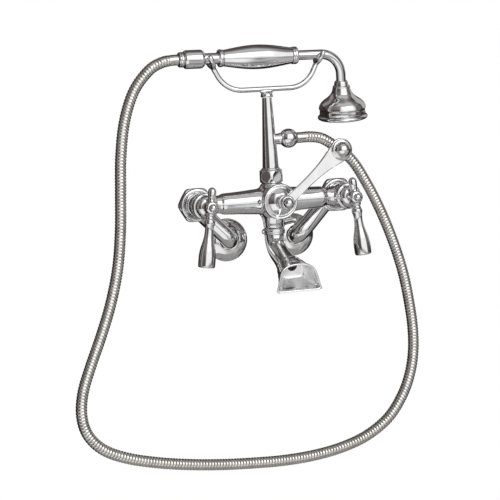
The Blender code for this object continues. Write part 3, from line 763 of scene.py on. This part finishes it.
def diverter():
    """The bezel and dome in the middle of the body, and the lever with its hub and ball knob."""
    axis = (0, 0, VALVE_Z)
    back = -BEZEL_BACK_Y
    bezel = [
        (14.6, back),
        (19.8, back),
        (BEZEL_R, back + 1.4),
        (BEZEL_R, back + 4.2),
        (20.2, back + 6),
        (18.6, back + 6),
        (17.4, back + 4.6),
        (14.6, back + 4.2),
    ]
    piece(
        "diverter_bright_bezel",
        lathe(eased(bezel, 1.2, True), 96, ring=True),
        at(axis, FORWARD),
        "diverter_bezel",
    )
    base = back + 4.5
    dome = [
        (5.2, base),
        (16.6, base),
        (16.6, base + 1.2),
        (15.8, base + 2.0),
        *arc((0, base - 14.4), 22.4, 46, 68, 12),
        (7.4, base + 8.0),
        (5.2, base + 8.2),
    ]
    piece(
        "diverter_polished_dome",
        lathe(eased(dome, 0.5, True), 96, ring=True),
        at(axis, FORWARD),
        "diverter_dome",
    )
    pivot = at((0, LEVER_Y, VALVE_Z), (0, -LEVER_ANGLE, 0))
    hub = [
        (0, -13.6),
        (7.6, -13.6),
        (8.8, -12.2),
        (8.8, 3.6),
        (8.2, 4.8),
        (7.7, 5.0),
        (7.4, 6.2),
        (6.9, 6.4),
        (0, 6.4),
    ]
    plate = [(0, -2.2), (12.7, -2.2), (13.4, -1.5), (13.4, 1.5), (12.7, 2.2), (0, 2.2)]
    end = (LEVER_LENGTH, 0, 0)
    piece(
        "diverter_blade_lever",
        joined(
            (lathe(eased(hub, 0.6)), at(turn=FORWARD)),
            (blade(), Matrix()),
            (lathe(eased(plate, 0.6), 80), at(end, FORWARD)),
        ),
        pivot,
        "diverter_lever",
    )
    cap = [(0, 6.7), (6.2, 6.7), (6.5, 7.4), *arc((0, 6.8), 6.4, 12, 90)]
    piece("diverter_round_cap", lathe(cap, 56), pivot @ at(turn=FORWARD), "diverter_cap")
    knob = [(0, -1.8), (2.2, -1.8), (2.2, 2.6), (12.1, 2.6), (12.2, 2.9), (10.8, 3.9), (9.8, 4.1)]
    knob = eased(knob, 0.3) + arc((0, 4.3), 9.6, -1, 90, 20)
    piece("diverter_ball_knob", lathe(knob, 80), pivot @ at(end, FORWARD), "diverter_knob")


def blade():
    """The lever's flat blade, narrow at the hub, with eased edges."""
    widths = [(4, 6.0), (14, 5.6), (26, 5.3), (38, 5.4), (52, 6.2), (62, 7.4), (70, 8.9)]
    widths += [(78, 10.9), (86, 12.5), (LEVER_LENGTH, 12.7)]
    outline = eased(widths, 99)
    thick, edge = 1.9, 1.0
    sections = []
    for x, half in outline:
        corners = [
            (x, -thick + edge, -half),
            (x, thick - edge, -half),
            (x, thick, -half + edge),
            (x, thick, half - edge),
            (x, thick - edge, half),
            (x, -thick + edge, half),
            (x, -thick, half - edge),
            (x, -thick, -half + edge),
        ]
        sections.append(corners)
    return loft(sections)


# ---------------------------------------------------------------- riser, outlet and cradle


def riser():
    """The eased hexagon nut, the tapered post with its side outlet, and the ball shaped nut."""
    foot, top = RISER_NUT_Z, RISER_NUT_Z + RISER_NUT_H
    middle = foot + 8.2
    profile = [(11.4, foot), (12.4, foot + 0.6)]
    for i in range(25):
        height = foot + 1.6 + 14.6 * i / 24
        away = abs(height - middle)
        profile.append((14.86 - 0.028 * away**2 - 0.4 * max(0, away - 6) ** 2, height))
    profile += [(11.4, top - 1.1), (11.0, top - 0.5), (10.3, top)]
    piece(
        "riser_hex_nut",
        turned_hex(27, profile, 180),
        at((0, BAR_Y, 0), (0, 0, 74 - 30)),
        "riser_union_nut",
        sharp=20,
    )
    post = [(POST_BOTTOM_R, foot + 12), (POST_BOTTOM_R, top + 1.5), (POST_TOP_R, POST_TOP_Z - 0.2)]
    stub = [
        (0, 0),
        (6.6, 0),
        (6.4, 8),
        (6.3, 11.4),
        (6.9, 12.6),
        (6.9, 14.0),
        (6.3, 14.6),
        (5.4, 14.6),
        (5.4, 20),
        (0, 20),
    ]
    piece(
        "riser_tube",
        joined(
            (lathe([(0, foot + 12), *eased(post, 1.0), (0, POST_TOP_Z - 0.2)]), at((0, BAR_Y, 0))),
            (lathe(eased(stub, 0.6), 56), at((0, BAR_Y, OUTLET_Z), RIGHT)),
        ),
        Matrix(),
        "riser_post",
    )
    start, end = 15.0, 33.7
    centre = (start + end) / 2
    outline = [(6.0, start), *arc((0, centre), 11.5, -54, 54, 24), (6.0, end)]
    groove = [(8.1, end - 1.6), (7.5, end - 0.9), (7.3, end)]
    outline = outline[:-3] + groove + [(6.0, end)]
    piece(
        "hose_outlet_ball_nut",
        lathe(eased(outline, 0.5, True), ring=True),
        at((0, BAR_Y, OUTLET_Z), RIGHT),
        "hose_outlet_nut",
    )


def cradle():
    """The yoke: a hub that flares into a bent bar, with a U-shaped fork at each end."""
    foot = POST_TOP_Z + 0.3
    hub = [
        (0, foot),
        (7.2, foot),
        (7.4, foot + 1.2),
        (7.2, foot + 3.4),
        (6.2, foot + 4.6),
        (4.0, foot + 6.6),
        (0, YOKE_Z - 1.0),
    ]
    parts = [(lathe(eased(hub, 0.8), 48), at((0, BAR_Y, 0)))]
    web = []
    for i in range(13):
        rise = i / 12
        across = 6.6 + 9.0 * rise**2.4
        deep = 6.6 - 4.0 * math.sin(rise * math.pi / 2)
        height = foot + 3.6 + (YOKE_Z - 0.6 - foot - 3.6) * rise
        web.append(oval(across, deep, height))
    parts.append((loft(web), at((0, BAR_Y, 0))))
    rise = Vector((SADDLE_X - YOKE_CORNER_X, 0, SADDLE_Z - YOKE_Z))
    front, back = Vector((0, -1, 0)), Vector((0, 1, 0))
    for sign in (-1, 1):
        way = Vector((sign * rise.x, 0, rise.z)).normalized()
        corner = Vector((sign * YOKE_CORNER_X, BAR_Y, YOKE_Z))
        saddle = Vector((sign * SADDLE_X, BAR_Y, SADDLE_Z))
        arm = [(0, BAR_Y, YOKE_Z), *bend(corner, (sign, 0, 0), way, YOKE_BEND_R), saddle]
        parts.append((sweep(arm, YOKE_R, (0, 1, 0), 24), Matrix()))
        lean = Vector((sign * 0.42, 0, 0.91)).normalized()
        radius = 10.6
        centre = saddle + lean * radius
        turns = [math.pi * i / 28 for i in range(29)]
        fork = [
            centre + front * radius + lean * 1.5,
            *[centre + radius * (math.cos(t) * front - math.sin(t) * lean) for t in turns],
            centre + back * radius + lean * 1.5,
        ]
        parts.append((sweep(fork, YOKE_R, back.cross(lean), 24), Matrix()))
        for side in (front, back):
            tip = bmesh.new()
            bmesh.ops.create_uvsphere(tip, u_segments=24, v_segments=16, radius=YOKE_R)
            parts.append((tip, Matrix.Translation(centre + side * radius + lean * 1.5)))
    obj = piece("cradle_yoke", joined(*parts), Matrix(), "cradle")
    cast(obj, 0.55, 6)


# ---------------------------------------------------------------- spout


def mouth_outline(width, height, square, flare):
    """Evenly spaced (across, up) points round the spout: a circle, or an arch on a flat foot."""
    dense = []
    for i in range(720):
        angle = math.tau * i / 720
        c, s = math.cos(angle), math.sin(angle)
        power = 1 - square * (0.86 if s < 0 else 0.2)
        u = math.copysign(abs(c) ** power, c) * width / 2
        v = math.copysign(abs(s) ** power, s) * height / 2
        u *= 1 + flare * ((0.5 - v / height) ** 2 - 0.25)
        dense.append(Vector((u, v)))
    reach = [0.0]
    for a, b in zip(dense, dense[1:] + dense[:1]):
        reach.append(reach[-1] + (b - a).length)
    out = []
    k = 0
    for i in range(MOUTH_POINTS):
        want = reach[-1] * i / MOUTH_POINTS
        while reach[k + 1] < want:
            k += 1
        share = (want - reach[k]) / (reach[k + 1] - reach[k])
        out.append(dense[k].lerp(dense[(k + 1) % 720], share))
    return out


def spout_line(t):
    """The centre and the pitch of the spout at t of its length."""
    start, one, two, end = [
        Vector((0, y, z)) for y, z in ((BAR_Y, 7.7), (BAR_Y, -14), (-84, -18), (-142, -37))
    ]
    centre = (
        start * (1 - t) ** 3
        + one * 3 * t * (1 - t) ** 2
        + two * 3 * t**2 * (1 - t)
        + end * t**3
    )
    way = (one - start) * (1 - t) ** 2 + (two - one) * 2 * t * (1 - t) + (end - two) * t**2
    return centre, math.atan2(way.z, -way.y)


def spout_ring(t, inset, ahead=0.0):
    """A section of the spout at t of its length, shrunk by inset on every side."""
    centre, pitch = spout_line(t)
    pitch *= 1 - t**4
    ease = max(0.0, (t - 0.55) / 0.45) ** 2
    lip = max(0.0, (t - 0.88) / 0.12)
    width = 24 + 22 * ease + 2 * lip - 2 * inset
    height = 24 + 8 * ease + 1.5 * lip - 2 * inset
    forward = Vector((0, -math.cos(pitch), math.sin(pitch)))
    right = Vector((1, 0, 0))
    up = forward.cross(right)
    outline = mouth_outline(width, height, ease, 0.3 * ease)
    return [centre + right * u + up * v + forward * ahead for u, v in outline]


def bore_ring(t, radius=BORE_R):
    """A section of the round bore that opens high in the scoop's back wall."""
    centre, pitch = spout_line(t)
    centre += Vector((0, 0, BORE_RISE * t**2))
    up = Vector((0, math.sin(pitch), math.cos(pitch)))
    turns = [math.tau * i / MOUTH_POINTS for i in range(MOUTH_POINTS)]
    return [centre + radius * (math.cos(a) * Vector((1, 0, 0)) + math.sin(a) * up) for a in turns]


def spout():
    """One skin: down the outside, round the lip, in to the scoop's back wall and up the bore."""
    sections = []
    for i in range(61):
        t = i / 60
        ridges = math.exp(-(((t - 0.80) / 0.012) ** 2)) + math.exp(-(((t - 0.87) / 0.012) ** 2))
        dip = math.exp(-(((t - 0.945) / 0.02) ** 2))
        sections.append(spout_ring(t, SPOUT_SKIN - 0.6 * ridges + 0.8 * dip))
    for turn in (25, 50, 75, 90, 115, 140, 165):
        lean = math.radians(turn)
        inset = SPOUT_SKIN + LIP_R * (1 - math.cos(lean))
        sections.append(spout_ring(1.0, inset, LIP_R * (math.sin(lean) - 1)))
    for t in (0.985, 0.975, 0.965):
        sections.append(spout_ring(t, MOUTH_WALL))
    polished_rings = len(sections) - 1
    for t in (0.955, 0.94, 0.925, 0.91, 0.895):
        sections.append(spout_ring(t, MOUTH_WALL))
    hole = bore_ring(SCOOP_START)
    coved = ((0.024, 0), (0.014, 0.03), (0.006, 0.08), (0.002, 0.16))
    flat = ((0, 0.4), (0, 0.7), (0, 0.9))
    for near, share in coved + flat:
        edge = spout_ring(SCOOP_START + near, MOUTH_WALL + 0.3)
        sections.append([a.lerp(b, share) for a, b in zip(edge, hole)])
    sections.append(bore_ring(SCOOP_START, BORE_R + 0.2))
    for i in range(26):
        sections.append(bore_ring(0.845 - 0.8 * i / 25))
    shell = piece("spout_shell", loft(sections), Matrix(), "spout", material=CAST, sharp=45)
    # The scoop and the bore take the lighter satin chrome: painted light in the hollow of the
    # spout.
    shell.data.materials.append(LIGHTENED_SATIN)
    for i, face in enumerate(shell.data.polygons):
        face.material_index = int(i // MOUTH_POINTS >= polished_rings)
    ring = [
        (9.3, 8),
        (12.4, 8),
        (13.3, 8.7),
        (13.4, 9.6),
        (12.9, 10.2),
        (13.4, 10.8),
        (13.4, 12.9),
        (12.9, 13.4),
        (13.2, 13.9),
        (12.6, 14.7),
        (9.3, 14.7),
    ]
    piece(
        "spout_ringed_collar",
        lathe(eased(ring, 0.5, True), ring=True),
        at((0, BAR_Y, 0)),
        "spout_collar",
    )
    screw = [(0, 9.4), (1.7, 9.4), (1.7, 13.3), (2.5, 13.3), (2.5, 14.4), (2.0, 15.0), (0, 15.2)]
    piece(
        "spout_side_screw",
        lathe(eased(screw, 0.3), 32),
        at((0, BAR_Y, 11.4), (0, -90, 0)),
        "spout_set_screw",
    )
    dome = [(0, 11), (1.5, 11), (1.5, 15.3), (3.6, 15.3), (3.6, 16.0), *arc((0, 16.0), 3.6, 8, 90)]
    piece(
        "spout_dome_screw",
        lathe(dome, 40),
        at((0, BAR_Y, SPOUT_SCREW_Z), FORWARD),
        "spout_screw",
    )


# ---------------------------------------------------------------- hand shower


def hand_shower():
    """The hand shower along its own axis, from the hose's ferrule to the bent tube and its bell."""
    pivot = at((0, BAR_Y, HAND_Z), (HEAD_BACK, HAND_TILT, 0))
    along = pivot @ at(turn=RIGHT)

    def turned(name, outline, node, radius=0.8, steps=80):
        return piece(name, lathe(eased(outline, radius, True), steps, ring=True), along, node)

    ferrule = [
        (4.2, -106.3),
        (8.0, -106.3),
        (8.8, -105.6),
        (9.1, -104.6),
        (8.5, -103.8),
        (9.1, -103.0),
        (9.1, -101.2),
        (8.4, -100.2),
        (4.2, -100.2),
    ]
    turned("hose_ferrule_ring", ferrule, "hose_ferrule", 0.6)
    nut = [
        (7.0, -99.9),
        (9.4, -99.9),
        (10.4, -98.9),
        (10.8, -97.9),
        (11.1, -96.4),
        (11.1, -80.0),
        (10.8, -78.2),
        (9.8, -76.4),
        (8.6, -75.2),
        (7.0, -75.2),
    ]
    turned("hand_shower_round_nut", nut, "hand_shower_nut", 1.2)
    neck = [(4.4, -97), (6.6, -97), (6.6, -53.4), (4.4, -53.4)]
    turned("hand_shower_neck_tube", neck, "hand_shower_neck", 0.3)
    rear = [
        (7.0, -57.8),
        (9.4, -57.8),
        (10.2, -57.2),
        (10.6, -56.2),
        (10.6, -54.4),
        (10.0, -53.6),
        (10.2, -52.8),
        (9.6, -52.2),
        (7.0, -52.2),
    ]
    turned("grip_rear_ring", rear, "grip_rear_collar", 0.6)
    start, length, middle = -51.9, 84.8, -9.5
    belly = []
    for i in range(17):
        x = start + length * i / 16
        swell = max(0, math.cos(math.pi * (x - middle) / length))
        belly.append((9.7 + 4.9 * swell**1.1, x))
    hold = [(6.2, start), *eased(belly, 99), (6.2, start + length)]
    piece("hand_shower_long_grip", lathe(hold, 96, ring=True), along, "hand_shower_grip")
    front = [
        (6.2, 33.2),
        (9.6, 33.2),
        (10.4, 34.0),
        (10.5, 35.4),
        (10.0, 36.0),
        (10.5, 36.6),
        (10.5, 38.8),
        (9.8, 40.0),
        (8.8, 40.8),
        (6.2, 40.8),
    ]
    turned("grip_front_ring", front, "grip_front_collar", 0.6)
    head = Vector((HEAD_X, 0, 0))
    down = Vector((math.sin(math.radians(HEAD_OUT)), 0, -math.cos(math.radians(HEAD_OUT))))
    route = [
        (-48, 0, 0),
        (30, 0, 0),
        (60, 0, 0),
        *bend(head, (1, 0, 0), down, BEND_R, 28),
        head + down * (HEAD_TOP + 6),
    ]
    piece(
        "hand_shower_bent_tube", sweep(route, TUBE_R, (0, 1, 0), 48), pivot, "hand_shower_tube"
    )
    shower_head(pivot @ at((HEAD_X, 0, 0), (0, -HEAD_OUT, 0)))


def shower_head(place):
    """The bell, its rim and the spray plate with rings of nozzles."""
    top = -HEAD_TOP
    outside = [
        (7.0, top),
        (7.9, top - 0.8),
        (8.5, top - 3.2),
        (8.8, top - 5.6),
        (9.6, top - 6.0),
        (10.5, top - 6.6),
        (10.4, top - 7.8),
        (10.8, top - 9.4),
        (11.8, top - 13.0),
        (13.6, top - 16.2),
        (17.2, top - 19.6),
        (22.4, top - 23.2),
        (26.2, top - 26.8),
        (28.2, top - 30.6),
        (28.6, top - 33.4),
        (28.0, top - 34.2),
        (27.5, top - 35.2),
        (27.6, top - 36.4),
        (28.0, top - 41.0),
    ]
    inside = [
        (25.4, top - 41.0),
        (25.4, top - 33.0),
        (22.0, top - 27.5),
        (12.0, top - 19.0),
        (7.6, top - 13.0),
        (6.2, top - 9.0),
        (6.2, top),
    ]
    bell = eased(outside + inside, 1.6, True)
    piece("shower_polished_bell", lathe(bell, 120, ring=True), place, "shower_bell")
    low = top - 41.3
    rim = [
        (25.6, low),
        (28.4, low),
        (29.4, low - 0.7),
        (30.2, low - 1.6),
        (30.4, low - 2.8),
        (30.1, low - 4.0),
        (28.8, low - 5.2),
        (25.6, low - 5.2),
    ]
    rim = lathe(eased(rim, 0.9, True), 120, ring=True)
    piece("shower_bright_rim", rim, place, "shower_rim_ring")
    face = [
        (0, top - 37.0),
        (25.0, top - 37.0),
        (25.0, low - 3.6),
        (24.2, low - 4.2),
        (20.0, low - 4.7),
        (0, low - 5.3),
    ]
    parts = [(lathe(eased(face, 0.5), 96), Matrix())]
    nozzle = [(0, 0.8), (1.1, 0.8), (0.9, -0.3), (0.5, -0.4), (0, 0)]
    for count, radius in ((1, 0), (6, 5), (12, 10), (18, 15), (24, 20)):
        for i in range(count):
            turn = math.tau * i / count
            depth = low - 5.3 + 0.6 * (radius / 20) ** 2
            spot = (radius * math.cos(turn), radius * math.sin(turn), depth)
            parts.append((lathe(nozzle, 12), at(spot)))
    piece("shower_spray_plate", joined(*parts), place, "spray_face", slot="spray_plate")


# ---------------------------------------------------------------- inner pieces


def inner_pieces():
    """The frame's own inner pieces stay, each with the finish of its slot."""
    slots = {row["node"]: row["material_slot"] for row in frame["record"]["subparts"]}
    for node, obj in frame["nodes"].items():
        obj.data.materials.clear()
        obj.data.materials.append(FINISH[slots[node]])


# ---------------------------------------------------------------- stage and light


def stage():
    """A pale round floor below the hose, just out of the camera's view."""
    radius, centre = 0.5, (0, -0.06, -0.58)  # in metres
    mesh = bpy.data.meshes.new("floor")
    shape = bmesh.new()
    bmesh.ops.create_circle(shape, cap_ends=True, segments=96, radius=radius)
    bmesh.ops.translate(shape, verts=shape.verts, vec=centre)
    shape.to_mesh(mesh)
    shape.free()
    floor = bpy.data.objects.new("floor", mesh)
    bpy.context.scene.collection.objects.link(floor)
    pale, less_pale = (0.82, 0.81, 0.80), (0.79, 0.78, 0.77)
    mesh.materials.append(plain("pale_floor", pale, less_pale, (0.6, 0.75), 8.0, 0.02))


def studio():
    """The room that the metal mirrors, dark behind, while the camera itself sees plain white."""
    front_half, front_soft = 75, 30
    blotch_scale, blotch_detail = 2.6, 3.0
    darkest, brightest = 0.55, 1.5
    world = bpy.data.worlds.new("studio")
    bpy.context.scene.world = world
    world.use_nodes = True
    nodes, links = world.node_tree.nodes, world.node_tree.links
    nodes.clear()

    def math_node(operation, first, second=0.0):
        node = nodes.new("ShaderNodeMath")
        node.operation = operation
        for socket, value in zip(node.inputs, (first, second)):
            if isinstance(value, (int, float)):
                socket.default_value = value
            else:
                links.new(value, socket)
        return node.outputs["Value"]

    place = nodes.new("ShaderNodeTexCoord")
    split = nodes.new("ShaderNodeSeparateXYZ")
    links.new(place.outputs["Generated"], split.inputs["Vector"])
    x, y, z = (split.outputs[axis] for axis in "XYZ")
    azimuth = math_node("DEGREES", math_node("ARCTAN2", x, math_node("MULTIPLY", y, -1)))
    elevation = math_node("DEGREES", math_node("ARCSINE", z))

    def edge(value, centre, half, soft):
        """1 within half degrees of the centre, 0 from half + soft degrees on."""
        away = math_node("ABSOLUTE", math_node("SUBTRACT", value, centre))
        node = nodes.new("ShaderNodeMapRange")
        node.interpolation_type = "SMOOTHSTEP"
        node.inputs["From Min"].default_value = half
        node.inputs["From Max"].default_value = half + soft
        node.inputs["To Min"].default_value = 1
        node.inputs["To Max"].default_value = 0
        links.new(away, node.inputs["Value"])
        return node.outputs["Result"]

    def mixed(amount, first, second):
        node = nodes.new("ShaderNodeMix")
        node.data_type = "RGBA"
        links.new(amount, node.inputs["Factor"])
        for name, value in (("A", first), ("B", second)):
            if isinstance(value, tuple):
                node.inputs[name].default_value = (*value, 1)
            else:
                links.new(value, node.inputs[name])
        return node.outputs["Result"]

    def by_height(stops):
        scale = math_node("ADD", math_node("DIVIDE", elevation, 180.0), 0.5)
        node = nodes.new("ShaderNodeValToRGB")
        elements = node.color_ramp.elements
        while len(elements) < len(stops):
            elements.new(0.5)
        for element, (angle, level) in zip(elements, stops):
            element.position = angle / 180 + 0.5
            element.color = (*grey(level), 1)
        links.new(scale, node.inputs["Fac"])
        return node.outputs["Color"]

    front = by_height(ROOM_FRONT)
    behind = by_height(ROOM_BEHIND)
    room = mixed(edge(azimuth, 0, front_half, front_soft), behind, front)
    blotch = nodes.new("ShaderNodeTexNoise")
    blotch.inputs["Scale"].default_value = blotch_scale
    blotch.inputs["Detail"].default_value = blotch_detail
    links.new(place.outputs["Generated"], blotch.inputs["Vector"])
    shade = nodes.new("ShaderNodeMapRange")
    shade.inputs["From Min"].default_value = 0.35
    shade.inputs["From Max"].default_value = 0.65
    shade.inputs["To Min"].default_value = darkest
    shade.inputs["To Max"].default_value = brightest
    links.new(blotch.outputs["Fac"], shade.inputs["Value"])
    darken = nodes.new("ShaderNodeVectorMath")
    darken.operation = "SCALE"
    links.new(room, darken.inputs[0])
    links.new(shade.outputs["Result"], darken.inputs["Scale"])
    colour = darken.outputs["Vector"]
    for (across, half_across), (up, half_up), soft, level in SOFT_BOXES:
        beside = edge(azimuth, across, half_across, soft)
        level_with = edge(elevation, up, half_up, soft / 2)
        inside = math_node("MULTIPLY", beside, level_with)
        colour = mixed(inside, colour, grey(level))
    shine = nodes.new("ShaderNodeBackground")
    links.new(colour, shine.inputs["Color"])
    white = nodes.new("ShaderNodeBackground")
    white.inputs["Color"].default_value = (1, 1, 1, 1)
    seen = nodes.new("ShaderNodeLightPath")
    choose = nodes.new("ShaderNodeMixShader")
    links.new(seen.outputs["Is Camera Ray"], choose.inputs["Fac"])
    links.new(shine.outputs["Background"], choose.inputs[1])
    links.new(white.outputs["Background"], choose.inputs[2])
    out = nodes.new("ShaderNodeOutputWorld")
    links.new(choose.outputs["Shader"], out.inputs["Surface"])


def soft_box(name, place, target, width, height, power):
    """A rectangular lamp, placed and sized in metres."""
    light = bpy.data.lights.new(name, "AREA")
    light.shape = "RECTANGLE"
    light.size = width
    light.size_y = height
    light.energy = power
    obj = bpy.data.objects.new(name, light)
    obj.location = place
    obj.rotation_euler = (Vector(target) - Vector(place)).to_track_quat("-Z", "Y").to_euler()
    bpy.context.scene.collection.objects.link(obj)


def lights():
    """One large weak lamp high in front, which only softens the shadows."""
    soft_box("key_box", (0.3, -1.7, 0.95), (0, -0.06, 0.05), 1.4, 1.0, 6)


# ---------------------------------------------------------------- assembly

bpy.context.scene.view_settings.view_transform = "Standard"
camera()
hand_shower()
hose()
valve_body()
for side_name, side_sign in (("left", -1), ("right", 1)):
    valve(side_name, side_sign)
    handle(side_name, side_sign)
    swing_arm(side_name, side_sign)
diverter()
riser()
cradle()
spout()
inner_pieces()
stage()
studio()
lights()
